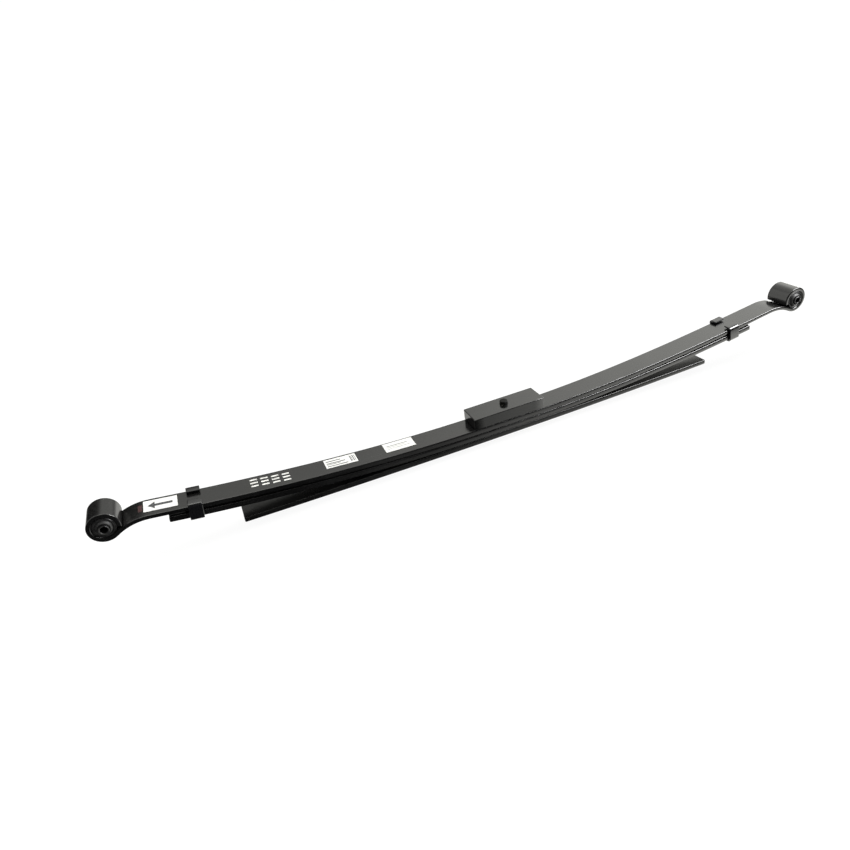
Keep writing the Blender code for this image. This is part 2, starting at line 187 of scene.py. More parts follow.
def finish_mesh(name, mesh, materials, sharp_deg):
    """Cleans a mesh, keeps each point's rest place for the textures, and makes the object."""
    maker = bmesh.new()
    maker.from_mesh(mesh)
    bmesh.ops.remove_doubles(maker, verts=maker.verts, dist=0.002 * MM)
    bmesh.ops.recalc_face_normals(maker, faces=maker.faces)
    maker.to_mesh(mesh)
    maker.free()
    rest = mesh.attributes.new("rest_place", "FLOAT_VECTOR", "POINT")
    rest.data.foreach_set("vector", [value for vertex in mesh.vertices for value in vertex.co])
    mesh.polygons.foreach_set("use_smooth", [True] * len(mesh.polygons))
    mesh.set_sharp_from_angle(angle=math.radians(sharp_deg))
    for material in materials:
        mesh.materials.append(material)
    piece = bpy.data.objects.new(name, mesh)
    bpy.context.scene.collection.objects.link(piece)
    return piece


def copy_of(node, name, materials, sharp_deg=40.0):
    """A CAD node's own shape with its flat faces joined up, ready for a finish."""
    maker = bmesh.new()
    maker.from_mesh(frame["nodes"][node].data)
    bmesh.ops.remove_doubles(maker, verts=maker.verts, dist=0.005 * MM)
    bmesh.ops.dissolve_limit(maker, angle_limit=math.radians(0.3), verts=maker.verts,
                             edges=maker.edges)
    sharp = set()
    for edge in maker.edges:
        if len(edge.link_faces) == 2 and edge.calc_face_angle() > math.radians(20.0):
            sharp.update(vertex.index for vertex in edge.verts)
    mesh = bpy.data.meshes.new(name)
    maker.to_mesh(mesh)
    maker.free()
    wear = mesh.attributes.new("edge_wear", "FLOAT", "POINT")
    wear.data.foreach_set("value", [1.0 if i in sharp else 0.0 for i in range(len(mesh.vertices))])
    mesh.materials.clear()
    piece = finish_mesh(name, mesh, materials, sharp_deg)
    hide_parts(node)
    return piece


# ---- shader helpers ------------------------------------------------------------
def new_material(name):
    """A material with its node tree and its Principled shader."""
    material = bpy.data.materials.new(name)
    material.use_nodes = True
    return material, material.node_tree, material.node_tree.nodes["Principled BSDF"]


def plug(tree, socket, value):
    """Links a socket into an input, or sets the input to a plain value."""
    if isinstance(value, bpy.types.NodeSocket):
        tree.links.new(value, socket)
    else:
        socket.default_value = value


def attribute(tree, name, output):
    """One output of a mesh attribute."""
    item = tree.nodes.new("ShaderNodeAttribute")
    item.attribute_name = name
    return item.outputs[output]


def noise_of(tree, scale, detail=3.0, rough=0.55, stretch=(1.0, 1.0, 1.0)):
    """Noise that stays on the surface when the piece bends."""
    mapping = tree.nodes.new("ShaderNodeMapping")
    mapping.inputs["Scale"].default_value = stretch
    tree.links.new(attribute(tree, "rest_place", "Vector"), mapping.inputs["Vector"])
    item = tree.nodes.new("ShaderNodeTexNoise")
    tree.links.new(mapping.outputs[0], item.inputs["Vector"])
    item.inputs["Scale"].default_value = scale
    item.inputs["Detail"].default_value = detail
    item.inputs["Roughness"].default_value = rough
    return item.outputs["Fac"]


def maths(tree, operation, first, second=0.0):
    """One sum on two sockets or numbers."""
    item = tree.nodes.new("ShaderNodeMath")
    item.operation = operation
    plug(tree, item.inputs[0], first)
    plug(tree, item.inputs[1], second)
    return item.outputs[0]


def fade(tree, value, low, high, to_low=0.0, to_high=1.0):
    """Smooth step from to_low to to_high while value goes from low to high."""
    item = tree.nodes.new("ShaderNodeMapRange")
    item.interpolation_type = "SMOOTHSTEP"
    plug(tree, item.inputs["Value"], value)
    item.inputs["From Min"].default_value = low
    item.inputs["From Max"].default_value = high
    item.inputs["To Min"].default_value = to_low
    item.inputs["To Max"].default_value = to_high
    return item.outputs[0]


def mixed(tree, part, first, second):
    """Colour that goes from first to second while part goes from 0 to 1."""
    item = tree.nodes.new("ShaderNodeMix")
    item.data_type = "RGBA"
    plug(tree, item.inputs[0], part)
    plug(tree, item.inputs[6], first)
    plug(tree, item.inputs[7], second)
    return item.outputs[2]


def bumped(tree, height, distance, strength=1.0, base=None):
    """Normal tilted by a height texture, over another bump if base is given."""
    item = tree.nodes.new("ShaderNodeBump")
    item.inputs["Strength"].default_value = strength
    item.inputs["Distance"].default_value = distance
    plug(tree, item.inputs["Height"], height)
    if base is not None:
        tree.links.new(base, item.inputs["Normal"])
    return item.outputs[0]


def upward(tree):
    """1 on surfaces that face the sky, 0 on the rest."""
    geometry = tree.nodes.new("ShaderNodeNewGeometry")
    split = tree.nodes.new("ShaderNodeSeparateXYZ")
    tree.links.new(geometry.outputs["Normal"], split.inputs[0])
    return fade(tree, split.outputs[2], 0.55, 0.95)


# ---- materials -------------------------------------------------------------------
def black_paint(name, colour, low_rough, high_rough, dust=0.25, chips=0.75, shine=0.5):
    """Semi-gloss black enamel on rolled steel: orange peel, mill pits, dust, chipped edges."""
    material, tree, shader = new_material(name)
    cloud = noise_of(tree, 9.0, 4.0, 0.6)
    grain = noise_of(tree, 140.0, 5.0, 0.65)
    fine = noise_of(tree, 900.0, 2.0)
    streak = noise_of(tree, 60.0, 4.0, 0.6, (0.10, 1.0, 1.0))

    shade = mixed(tree, fade(tree, cloud, 0.35, 0.7), (*[c * 0.75 for c in colour], 1.0),
                  (*[c * 1.35 for c in colour], 1.0))
    specks = fade(tree, fine, 0.66, 0.74)
    film = maths(tree, "MULTIPLY", fade(tree, grain, 0.40, 0.75), fade(tree, streak, 0.3, 0.75))
    dusty = maths(tree, "MULTIPLY", upward(tree), maths(tree, "ADD", film, specks))
    dusty = maths(tree, "MULTIPLY", dusty, dust)
    shade = mixed(tree, dusty, shade, (0.105, 0.104, 0.096, 1.0))

    worn = maths(tree, "MULTIPLY", attribute(tree, "edge_wear", "Fac"),
                 fade(tree, noise_of(tree, 75.0, 6.0, 0.7), chips - 0.03, chips + 0.02))
    shade = mixed(tree, worn, shade, (0.20, 0.19, 0.17, 1.0))
    tree.links.new(shade, shader.inputs["Base Color"])

    rough = fade(tree, maths(tree, "ADD", cloud, maths(tree, "MULTIPLY", grain, 0.5)),
                 0.55, 0.95, low_rough, high_rough)
    rough = maths(tree, "ADD", rough, maths(tree, "MULTIPLY", dusty, 0.5))
    tree.links.new(rough, shader.inputs["Roughness"])

    shader.inputs["Specular IOR Level"].default_value = shine
    relief = bumped(tree, noise_of(tree, 420.0, 2.0), 0.03 * MM, 0.5)
    relief = bumped(tree, fade(tree, noise_of(tree, 130.0, 4.0, 0.7), 0.22, 0.38), 0.04 * MM,
                    0.4, relief)
    relief = bumped(tree, noise_of(tree, 14.0, 2.0), 0.35 * MM, 0.2, relief)
    tree.links.new(relief, shader.inputs["Normal"])
    return material


def dark_steel(name, colour, low_rough, high_rough):
    """Phosphated or blackened steel with a fine machined grain and handling marks."""
    material, tree, shader = new_material(name)
    blotch = noise_of(tree, 120.0, 4.0, 0.65)
    shade = mixed(tree, fade(tree, blotch, 0.3, 0.7), (*[c * 0.6 for c in colour], 1.0),
                  (*[c * 1.6 for c in colour], 1.0))
    worn = maths(tree, "MULTIPLY", attribute(tree, "edge_wear", "Fac"),
                 fade(tree, noise_of(tree, 90.0, 3.0), 0.40, 0.70, 0.0, 0.6))
    shade = mixed(tree, worn, shade, (0.14, 0.14, 0.135, 1.0))
    tree.links.new(shade, shader.inputs["Base Color"])
    tree.links.new(fade(tree, blotch, 0.3, 0.8, low_rough, high_rough), shader.inputs["Roughness"])
    shader.inputs["Metallic"].default_value = 0.85
    relief = bumped(tree, noise_of(tree, 700.0, 3.0), 0.04 * MM, 0.6)
    tree.links.new(relief, shader.inputs["Normal"])
    return material


def moulded(name, colour, low_rough, high_rough, grain_scale):
    """Rubber or plastic: mottled surface with bloom and a moulded grain."""
    material, tree, shader = new_material(name)
    bloom = noise_of(tree, 90.0, 5.0, 0.6)
    shade = mixed(tree, fade(tree, bloom, 0.35, 0.75), (*colour, 1.0),
                  (*[c * 1.9 + 0.006 for c in colour], 1.0))
    tree.links.new(shade, shader.inputs["Base Color"])
    tree.links.new(fade(tree, bloom, 0.3, 0.8, low_rough, high_rough), shader.inputs["Roughness"])
    relief = bumped(tree, noise_of(tree, grain_scale, 3.0), 0.08 * MM, 0.5)
    tree.links.new(relief, shader.inputs["Normal"])
    return material


def label_paper():
    """White label stock with faint fibres, printed where the mesh carries ink."""
    material, tree, shader = new_material("label_paper")
    fibre = noise_of(tree, 600.0, 4.0, 0.7)
    paper = mixed(tree, fade(tree, fibre, 0.3, 0.7), (0.76, 0.76, 0.75, 1.0),
                  (0.84, 0.84, 0.83, 1.0))
    ink = maths(tree, "MULTIPLY", attribute(tree, "ink", "Fac"),
                fade(tree, noise_of(tree, 1500.0, 2.0), 0.25, 0.45, 0.55, 1.0))
    tree.links.new(mixed(tree, ink, paper, (0.045, 0.045, 0.05, 1.0)), shader.inputs["Base Color"])
    tree.links.new(fade(tree, fibre, 0.3, 0.7, 0.60, 0.75), shader.inputs["Roughness"])
    shader.inputs["Specular IOR Level"].default_value = 0.25
    tree.links.new(bumped(tree, fibre, 0.03 * MM, 0.4), shader.inputs["Normal"])
    return material


def stencil_paint():
    """Thin white marking paint that lets the black through in places."""
    material, tree, shader = new_material("stencil_paint")
    thin = fade(tree, noise_of(tree, 260.0, 5.0, 0.7), 0.34, 0.52)
    tree.links.new(mixed(tree, thin, (0.32, 0.32, 0.31, 1.0), (0.82, 0.82, 0.80, 1.0)),
                   shader.inputs["Base Color"])
    tree.links.new(fade(tree, thin, 0.0, 1.0, 0.6, 0.45), shader.inputs["Roughness"])
    tree.links.new(bumped(tree, noise_of(tree, 500.0, 3.0), 0.05 * MM, 0.6),
                   shader.inputs["Normal"])
    return material


def marking_red():
    """Thin smear of dark red marking paint."""
    material, tree, shader = new_material("marking_red")
    thin = fade(tree, noise_of(tree, 220.0, 4.0, 0.7), 0.35, 0.60)
    tree.links.new(mixed(tree, thin, (0.012, 0.005, 0.005, 1.0), (0.055, 0.008, 0.009, 1.0)),
                   shader.inputs["Base Color"])
    shader.inputs["Roughness"].default_value = 0.5
    tree.links.new(bumped(tree, noise_of(tree, 500.0, 3.0), 0.05 * MM, 0.5),
                   shader.inputs["Normal"])
    return material


FINISH = {
    "leaf": black_paint("leaf_enamel", (0.0045, 0.0045, 0.0046), 0.17, 0.25, 0.10),
    # the helper's enamel is the leaf enamel made darker, less dusty and less shiny: painted shade
    # for the helper lying under the leaves above it
    "helper": black_paint("helper_enamel_painted_shade", (0.0036, 0.0036, 0.0037), 0.24, 0.34, 0.04, 0.75, 0.30),
    "block": black_paint("block_enamel", (0.0050, 0.0050, 0.0050), 0.16, 0.24, 0.12, 0.66),
    "clip": black_paint("clip_enamel", (0.0050, 0.0051, 0.0060), 0.18, 0.26, 0.10, 0.70),
    "bolt": black_paint("bolt_enamel", (0.0025, 0.0026, 0.0020), 0.50, 0.62, 0.0, 0.68, 0.12),
    "shell": dark_steel("bush_shell_steel", (0.016, 0.016, 0.017), 0.35, 0.50),
    "sleeve": dark_steel("sleeve_steel", (0.030, 0.030, 0.031), 0.35, 0.50),
    "rubber": moulded("bush_rubber", (0.007, 0.007, 0.007), 0.50, 0.70, 300.0),
    "liner": moulded("liner_plastic", (0.012, 0.012, 0.012), 0.50, 0.62, 500.0),
    "paper": label_paper(),
    "stencil": stencil_paint(),
    "dab": marking_red(),
}


# ---- leaves ----------------------------------------------------------------------
CORNER_R = 2.0 * MM
CORNER_STEPS = 5
SIDE_CROWN_DEG = 9.0
FACE_SUPPORT = 1.6 * MM
PROBE_Y = 0.4 * LEAF_HALF_WIDTH   # clear of the bolt and rivet holes
PATH_STEP = 8.0 * MM
PROBE_STEP = 30.0 * MM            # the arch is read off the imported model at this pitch
DIP_PROBE_STEP = 6.0 * MM         # and at this one where it dips under an eye
DIP_LENGTH = 125.0 * MM
THICKEST_LEAF = 14.0 * MM
EYE_STEP_DEG = 5.0
TAIL_EASE_DEG = 1.2               # the rolled tail's rounded end
TAIL_EASE = 0.7 * MM
END_EASE = 2.2 * MM               # sheared leaf ends round off over this length
END_LEAD = 1.1 * MM
END_SHRINK = 0.9 * MM


def bar_section(half_width, thickness, inset=0.0):
    """Rolled bar section with crowned sides, as (across, depth below the top face, edge wear)."""
    radius = min(CORNER_R, 0.42 * thickness) * (1.0 - 0.5 * min(1.0, inset / MM))
    crown = math.radians(SIDE_CROWN_DEG)
    wide = half_width - inset
    deep = thickness / 2.0 - inset
    side_reach = deep - radius + radius * math.sin(crown)
    centre_x = wide - side_reach * math.tan(crown / 2.0) - radius * math.cos(crown)
    centre_z = deep - radius
    arc = []
    for step in range(CORNER_STEPS + 1):
        turn = crown + (math.radians(90.0) - crown) * step / CORNER_STEPS
        arc.append((centre_x + radius * math.cos(turn), centre_z + radius * math.sin(turn), 1.0))
    quarter = [(wide, 0.0, 0.15)] + arc + [(centre_x - FACE_SUPPORT, deep, 0.0)]
    upper = quarter + [(-across, level, wear) for across, level, wear in reversed(quarter)]
    lower = [(-across, -level, wear) for across, level, wear in upper[1:-1]]
    return [(across, thickness / 2.0 - level, wear) for across, level, wear in upper + lower]


def add_bar_ring(shell, low_point, down, thickness, inset=0.0):
    """One section of a leaf, hung on a point of its lower face."""
    section = bar_section(LEAF_HALF_WIDTH, thickness, inset)
    top = low_point - down * thickness
    return shell.ring([top + down * depth + ACROSS * across for across, depth, _ in section],
                      [edge for _, _, edge in section])


def path_normals(path, below):
    """Unit normals of a path in the XZ plane, on the same side as below."""
    normals = []
    for index in range(len(path)):
        ahead = path[min(index + 1, len(path) - 1)]
        behind = path[max(index - 1, 0)]
        tangent = (ahead - behind).normalized()
        normal = tangent.cross(ACROSS).normalized()
        normals.append(normal if normal.dot(below) > 0.0 else -normal)
    return normals


def around_eye(degrees, side):
    """Direction from an eye's centre, in degrees past its underside, away from the leaf first."""
    turn = math.radians(-90.0 + side * degrees)
    return Vector((math.cos(turn), 0.0, math.sin(turn)))


def tail_angle(tree, eye, bore, side):
    """Where the rolled tail ends, in degrees past the eye's underside."""
    for degrees in range(300, 200, -1):
        hit = tree.ray_cast(eye + ACROSS * PROBE_Y, around_eye(degrees, side))
        if hit[0] is not None and hit[3] < bore * 1.05:
            return float(degrees)
    return 250.0


def close_leaf(shell, rings, name, finish, node):
    """Skins the sections of a leaf, caps both ends and hands the piece over."""
    for before, after in zip(rings, rings[1:]):
        shell.bridge(before, after)
    shell.face(rings[0])
    shell.face(rings[-1])
    piece = make_piece(name, shell, [FINISH[finish]])
    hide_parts(node)
    return piece


def main_leaf_half(end):
    """Half of the main leaf: from the bolt along the arch, under the eye and round it."""
    side = SIDES[end]
    eye = EYES[end]
    tree = tree_of("main_leaf")
    bore = tree.ray_cast(eye + ACROSS * PROBE_Y, -UP)[3]
    outer = eye.z - hit_height(tree, eye.x, PROBE_Y, False)
    wrap = outer - bore
    dip_start = eye.x - side * DIP_LENGTH
    stops = spaced(BOLT_X, dip_start, PROBE_STEP) + spaced(dip_start, eye.x, DIP_PROBE_STEP)[1:]
    lows = [Vector((x, 0.0, hit_height(tree, x, PROBE_Y, False))) for x in stops]
    path = smooth_path(lows, PATH_STEP)
    normals = path_normals(path, -UP)
    normals[-1] = -UP
    shell = Shell()
    rings = []
    for point, normal in zip(path, normals):
        probe = point + ACROSS * PROBE_Y
        thickness = min(depth_through(tree, probe, -normal), THICKEST_LEAF)
        if abs(point.x - eye.x) < outer:
            thickness = wrap
        rings.append(add_bar_ring(shell, point, normal, thickness))
    sweep = tail_angle(tree, eye, bore, side)
    for degrees in spaced(0.0, sweep, EYE_STEP_DEG)[1:]:
        out = around_eye(degrees, side)
        rings.append(add_bar_ring(shell, eye + out * outer, out, wrap))
    out = around_eye(sweep + TAIL_EASE_DEG, side)
    rings.append(add_bar_ring(shell, eye + out * outer, out, wrap, TAIL_EASE))
    return close_leaf(shell, rings, "main_leaf_" + end, "leaf", "main_leaf")


def sheared_end(shell, tree, point, normal, toward):
    """A free leaf end: a full section, then one eased inwards."""
    run = (ALONG - normal * ALONG.dot(normal)).normalized() * toward
    thick = depth_through(tree, point + ACROSS * PROBE_Y, -normal)
    full = add_bar_ring(shell, point + run * (END_EASE - END_LEAD), normal, thick)
    eased = add_bar_ring(shell, point + run * END_EASE - normal * END_SHRINK, normal,
                         thick - 2.0 * END_SHRINK, END_SHRINK)
    return [full, eased]


def plain_leaf(node, name, start_x, end_x, capped_start, finish="leaf"):
    """Stretch of a flat leaf between two places; its free ends are sheared and eased."""
    tree = tree_of(node)
    toward = 1.0 if end_x > start_x else -1.0
    first = start_x + toward * END_EASE if capped_start else start_x
    last = end_x - toward * END_EASE
    lows = [Vector((x, 0.0, hit_height(tree, x, PROBE_Y, False)))
            for x in spaced(first, last, PROBE_STEP)]
    path = smooth_path(lows, PATH_STEP)
    normals = path_normals(path, -UP)
    shell = Shell()
    rings = []
    for point, normal in zip(path, normals):
        thickness = depth_through(tree, point + ACROSS * PROBE_Y, -normal)
        rings.append(add_bar_ring(shell, point, normal, thickness))
    rings += sheared_end(shell, tree, path[-1], normals[-1], toward)
    if capped_start:
        rings = sheared_end(shell, tree, path[0], normals[0], -toward)[::-1] + rings
    return close_leaf(shell, rings, name, finish, node)


def bend_with(piece, end):
    """Bakes the piece's placement into its mesh; no bend is made."""
    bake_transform(piece)


def make_leaves():
    """Main and second leaf in two halves each, and the helper leaf in one."""
    for end, side in SIDES.items():
        bend_with(main_leaf_half(end), end)
        low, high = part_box("second_leaf")
        tip = high.x if side > 0 else low.x
        bend_with(plain_leaf("second_leaf", "second_leaf_" + end, BOLT_X, tip, False), end)
    low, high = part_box("helper_leaf")
    # the helper takes the darker enamel, painted shade for its place under the other leaves
    helper = plain_leaf("helper_leaf", "helper_leaf_body", low.x, high.x, True, "helper")
    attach(helper, "centre_pack")


# ---- turned pieces ---------------------------------------------------------------
TURN_STEPS = 96
SHELL_WALL = 1.5 * MM
SLEEVE_DEPTH = 6.0 * MM           # how far the outlines of a bush reach in from its ends
SERRATION = 0.28 * MM


def turned(name, outline, axis, centre, steps, material, sharp_deg=35.0, ripple=None,
           closed=True):
    """Surface of revolution from an outline of (radius, position, edge wear)."""
    side = UP if abs(axis.z) < 0.5 else ALONG
    other = axis.cross(side)
    shell = Shell()
    columns = []
    for index in range(steps):
        turn = math.tau * index / steps
        out = side * math.cos(turn) + other * math.sin(turn)
        points = []
        for radius, place, _ in outline:
            if ripple is not None:
                radius, place = ripple(radius, place, index)
            points.append(centre + out * radius + axis * place)
        columns.append(shell.ring(points, [edge for _, _, edge in outline]))
    count = len(outline)
    for index in range(steps):
        here, there = columns[index], columns[(index + 1) % steps]
        for row in range(count if closed else count - 1):
            after = (row + 1) % count
            if outline[row][0] == 0.0 and outline[after][0] == 0.0:
                continue
            shell.face((here[row], here[after], there[after], there[row]))
    return make_piece(name, shell, [material], sharp_deg)


def mirrored_outline(half):
    """Both ends of a bush piece from one: (radius, position, edge wear)."""
    return list(half) + [(radius, -place, edge) for radius, place, edge in reversed(half)]


def width_of(node):
    """Size of a CAD node along the spring."""
    low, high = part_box(node)
    return high.x - low.x


def make_bush(end):
    """Bush of one eye: the pressed tube, the moulded rubber with its grooved face, the sleeve."""
    centre = EYES[end]
    shell_r = width_of(end + "_bush_shell") / 2.0
    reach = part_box(end + "_bush_shell")[1].y
    half = (
        (shell_r - SHELL_WALL, reach - 0.5 * MM, 0.3),
        (shell_r - SHELL_WALL + 0.4 * MM, reach, 1.0),
        (shell_r - 0.5 * MM, reach, 1.0), (shell_r, reach - 0.6 * MM, 0.6),
        (shell_r, reach - 4.0 * MM, 0.0),
    )
    tube = turned(end + "_shell_tube", mirrored_outline(half), ACROSS, centre, TURN_STEPS,
                  FINISH["shell"])
    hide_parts(end + "_bush_shell")
    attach(tube, end + "_arm")

    outer = width_of(end + "_bush_rubber") / 2.0
    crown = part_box(end + "_bush_rubber")[1].y
    inner = width_of(end + "_bush_sleeve") / 2.0
    lip = reach - 0.6 * MM
    half = (
        (outer, lip - 3.0 * MM, 0.0), (outer, lip - 0.8 * MM, 0.0), (outer - 0.6 * MM, lip, 0.2),
        (outer - 1.8 * MM, lip + 0.1 * MM, 0.2), (outer - 2.6 * MM, lip - 1.4 * MM, 0.0),
        (outer - 3.8 * MM, lip - 1.6 * MM, 0.0), (outer - 5.0 * MM, lip + 0.6 * MM, 0.2),
        (inner + 3.6 * MM, crown - 0.7 * MM, 0.4), (inner + 2.4 * MM, crown, 0.5),
        (inner + 1.2 * MM, crown - 0.1 * MM, 0.3), (inner + 0.3 * MM, crown - 0.9 * MM, 0.0),
    )
    rubber = turned(end + "_rubber", mirrored_outline(half), ACROSS, centre, TURN_STEPS,
                    FINISH["rubber"], 60.0)
    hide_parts(end + "_bush_rubber")
    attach(rubber, end + "_arm")
    make_sleeve(end, centre, inner)


def make_sleeve(end, centre, outer):
    """Inner sleeve with a serrated bearing face at each end."""
    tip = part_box(end + "_bush_sleeve")[1].y
    bore = tree_of(end + "_bush_sleeve").ray_cast(centre, UP)[3]
    half = (
        (bore, tip - SLEEVE_DEPTH, 0.0), (bore, tip - 0.9 * MM, 0.3),
        (bore + 0.7 * MM, tip - 0.15 * MM, 1.0), (outer - 0.7 * MM, tip, 1.0),
        (outer, tip - 0.8 * MM, 0.7), (outer, tip - SLEEVE_DEPTH, 0.0),
    )

    def serrate(radius, place, index):
        on_face = abs(place) > tip - 0.5 * MM
        if on_face and index % 2:
            place -= math.copysign(SERRATION, place)
        return radius, place

    sleeve = turned(end + "_sleeve_tube", mirrored_outline(half), ACROSS, centre, TURN_STEPS,
                    FINISH["sleeve"], 35.0, serrate)
    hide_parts(end + "_bush_sleeve")
    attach(sleeve, end + "_sleeve")


# ---- pressed and cut pieces ------------------------------------------------------
SHANK_R = 6.0 * MM
HEAD_SUNK = 5.2 * MM
THREAD_LENGTH = 14.0 * MM
THREAD_PITCH = 1.75 * MM
THREAD_DEPTH = 0.9 * MM
NUT_BORE_R = 6.3 * MM
NUT_STEPS = 72
NUT_EASE = 0.15 * MM
NUT_CHAMFER_FALL = 0.58           # drop of the turned chamfer per unit of radius
BLOCK_CORNER_R = 2.2 * MM
BLOCK_EDGE_R = 1.5 * MM
STRAP_EDGE_R = 1.1 * MM


def inward_normals(outline):
    """Inward mitre vector at every corner of a counter-clockwise outline."""
    normals = []
    count = len(outline)
    for index in range(count):
        before = (outline[index] - outline[index - 1]).normalized()
        after = (outline[(index + 1) % count] - outline[index]).normalized()
        bisector = Vector((-before.y - after.y, before.x + after.x))
        length = max(0.7, 1.0 + before.dot(after))
        normals.append(bisector / length)
    return normals


def ease_levels(radius, steps, support):
    """(inset, depth from the cap, edge wear) from inside the cap round to the side wall."""
    levels = [(radius + support, 0.0, 0.0)]
    for step in range(steps + 1):
        turn = math.radians(90.0 * step / steps)
        levels.append((radius * (1.0 - math.sin(turn)), radius * (1.0 - math.cos(turn)), 1.0))
    levels.append((0.0, radius + support, 0.0))
    return levels


def prism(shell, outline, place, low, high, radius, support, hole_rings=None):
    """Extrusion of an outline with rounded rims.  place(u, v, w) puts a point in the scene."""
    normals = inward_normals(outline)
    levels = ease_levels(radius, 4, support)
    stages = [(inset, low + depth, edge) for inset, depth, edge in levels]
    stages += [(inset, high - depth, edge) for inset, depth, edge in reversed(levels)]
    rings = []
    for inset, level, edge in stages:
        points = [place(*(point + normal * inset), level)
                  for point, normal in zip(outline, normals)]
        rings.append(shell.ring(points, [edge] * len(outline)))
    for before, after in zip(rings, rings[1:]):
        shell.bridge(before, after)
    if hole_rings is None:
        shell.face(rings[0])
        shell.face(rings[-1])
        return
    chain = [rings[-1]] + hole_rings(outline) + [rings[0]]
    for before, after in zip(chain, chain[1:]):
        shell.bridge(before, after)


def walk_loop(links):
    """The points of a closed loop in order, from a table of each point's neighbours."""
    start = max(links)
    loop = [start]
    previous = None
    while True:
        onward = [key for key in links[loop[-1]] if key != previous]
        previous = loop[-1]
        if not onward or onward[0] == start:
            return loop
        loop.append(onward[0])


def slice_outline(node, origin, run, rise):
    """Outline of a CAD node in the plane through origin across run: points (y, rise)."""
    maker = bmesh.new()
    maker.from_mesh(frame["nodes"][node].data)
    cut = bmesh.ops.bisect_plane(maker, geom=maker.verts[:] + maker.edges[:] + maker.faces[:],
                                 plane_co=origin, plane_no=run, dist=1e-7)
    links = {}
    for edge in cut["geom_cut"]:
        if not isinstance(edge, bmesh.types.BMEdge):
            continue
        keys = [tuple(round(c, 6) for c in vertex.co) for vertex in edge.verts]
        if keys[0] != keys[1]:
            links.setdefault(keys[0], set()).add(keys[1])
            links.setdefault(keys[1], set()).add(keys[0])
    maker.free()
    points = [Vector((key[1], (Vector(key) - origin).dot(rise))) for key in walk_loop(links)]
    kept = []
    for index, point in enumerate(points):
        before = (point - points[index - 1]).normalized()
        after = (points[(index + 1) % len(points)] - point).normalized()
        if before.dot(after) < 0.99995:
            kept.append(point)
    area = sum(a.x * b.y - b.x * a.y for a, b in zip(kept, kept[1:] + kept[:1]))
    return kept if area > 0.0 else kept[::-1]


def leaf_slope(node, x):
    """Direction along a leaf and the direction out of its top face, at one place."""
    tree = tree_of(node)
    span = 6.0 * MM
    rise = hit_height(tree, x + span, PROBE_Y, True) - hit_height(tree, x - span, PROBE_Y, True)
    run = Vector((2.0 * span, 0.0, rise)).normalized()
    return run, run.cross(ACROSS).normalized()


def make_bolt():
    """Cheese-headed centre bolt with a cut thread at its lower end."""
    low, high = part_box("centre_bolt")
    centre = Vector((BOLT_X, 0.0, 0.0))
    head_r = width_of("centre_bolt") / 2.0
    head_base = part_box("spacer_block")[1].z - HEAD_SUNK
    outline = [
        (0.0, high.z - 0.15 * MM, 0.0), (head_r * 0.45, high.z - 0.1 * MM, 0.0),
        (head_r - 1.7 * MM, high.z, 0.3), (head_r - 0.8 * MM, high.z - 0.25 * MM, 1.0),
        (head_r - 0.15 * MM, high.z - 0.9 * MM, 1.0), (head_r, high.z - 1.8 * MM, 0.3),
        (head_r, head_base, 0.0), (SHANK_R, head_base, 0.0),
    ]
    z = low.z + THREAD_LENGTH
    outline.append((SHANK_R, z, 0.0))
    while z - THREAD_PITCH > low.z + THREAD_DEPTH:
        outline.append((SHANK_R - THREAD_DEPTH, z - 0.5 * THREAD_PITCH, 0.0))
        outline.append((SHANK_R - 0.05 * MM, z - THREAD_PITCH, 0.8))
        z -= THREAD_PITCH
    outline.append((SHANK_R - 1.2 * MM, low.z, 0.5))
    outline.append((0.0, low.z, 0.0))
    bolt = turned("centre_bolt_body", outline, UP, centre, 64, FINISH["bolt"], 50.0)
    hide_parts("centre_bolt")
    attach(bolt, "centre_pack")


def nut_stations(hexagon, flat, low_z, high_z):
    """(radius, height, edge wear) round a nut's section where its side is hexagon away."""
    chamfer_r = flat * 1.04
    rim = min(hexagon, chamfer_r) - NUT_EASE
    fall = NUT_EASE + max(0.0, hexagon - chamfer_r) * NUT_CHAMFER_FALL
    return [
        (NUT_BORE_R, low_z + 0.9 * MM, 0.0), (NUT_BORE_R + 0.9 * MM, low_z, 0.6),
        (rim, low_z, 0.6), (hexagon, low_z + fall, 1.0), (hexagon, high_z - fall, 1.0),
        (rim, high_z, 0.6), (NUT_BORE_R, high_z, 0.0),
    ]


def make_nut():
    """Hexagon nut with turned corner chamfers."""
    low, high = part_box("centre_bolt_nut")
    flat = min(high.x - low.x, high.y - low.y) / 2.0
    spokes = []
    for index in range(NUT_STEPS):
        turn = math.tau * index / NUT_STEPS
        local = (turn % math.radians(60.0)) - math.radians(30.0)
        stations = nut_stations(flat / math.cos(local), flat, low.z, high.z)
        out = Vector((math.sin(turn), math.cos(turn), 0.0))
        spokes.append([(Vector((BOLT_X, 0.0, z)) + out * radius, edge)
                       for radius, z, edge in stations])
    shell = Shell()
    rings = [shell.ring([point for point, _ in level], [edge for _, edge in level])
             for level in zip(*spokes)]
    for before, after in zip(rings, rings[1:] + rings[:1]):
        shell.bridge(before, after)
    nut = make_piece("centre_nut_body", shell, [FINISH["bolt"]], 25.0)
    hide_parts("centre_bolt_nut")
    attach(nut, "centre_pack")


def rounded_rectangle(half_x, half_y, radius, per_side):
    """Counter-clockwise outline centred on zero, with points along the sides too."""
    points = []
    for index, (sx, sy) in enumerate(((1, 1), (-1, 1), (-1, -1), (1, -1))):
        centre = Vector((sx * (half_x - radius), sy * (half_y - radius)))
        for step in range(4):
            turn = math.radians(90.0 * index + 30.0 * step)
            points.append(centre + Vector((math.cos(turn), math.sin(turn))) * radius)
    full = []
    for index, point in enumerate(points):
        full.append(point)
        if index % 4 == 3:
            target = points[(index + 1) % len(points)]
            full.extend(point.lerp(target, part / per_side) for part in range(1, per_side))
    return full


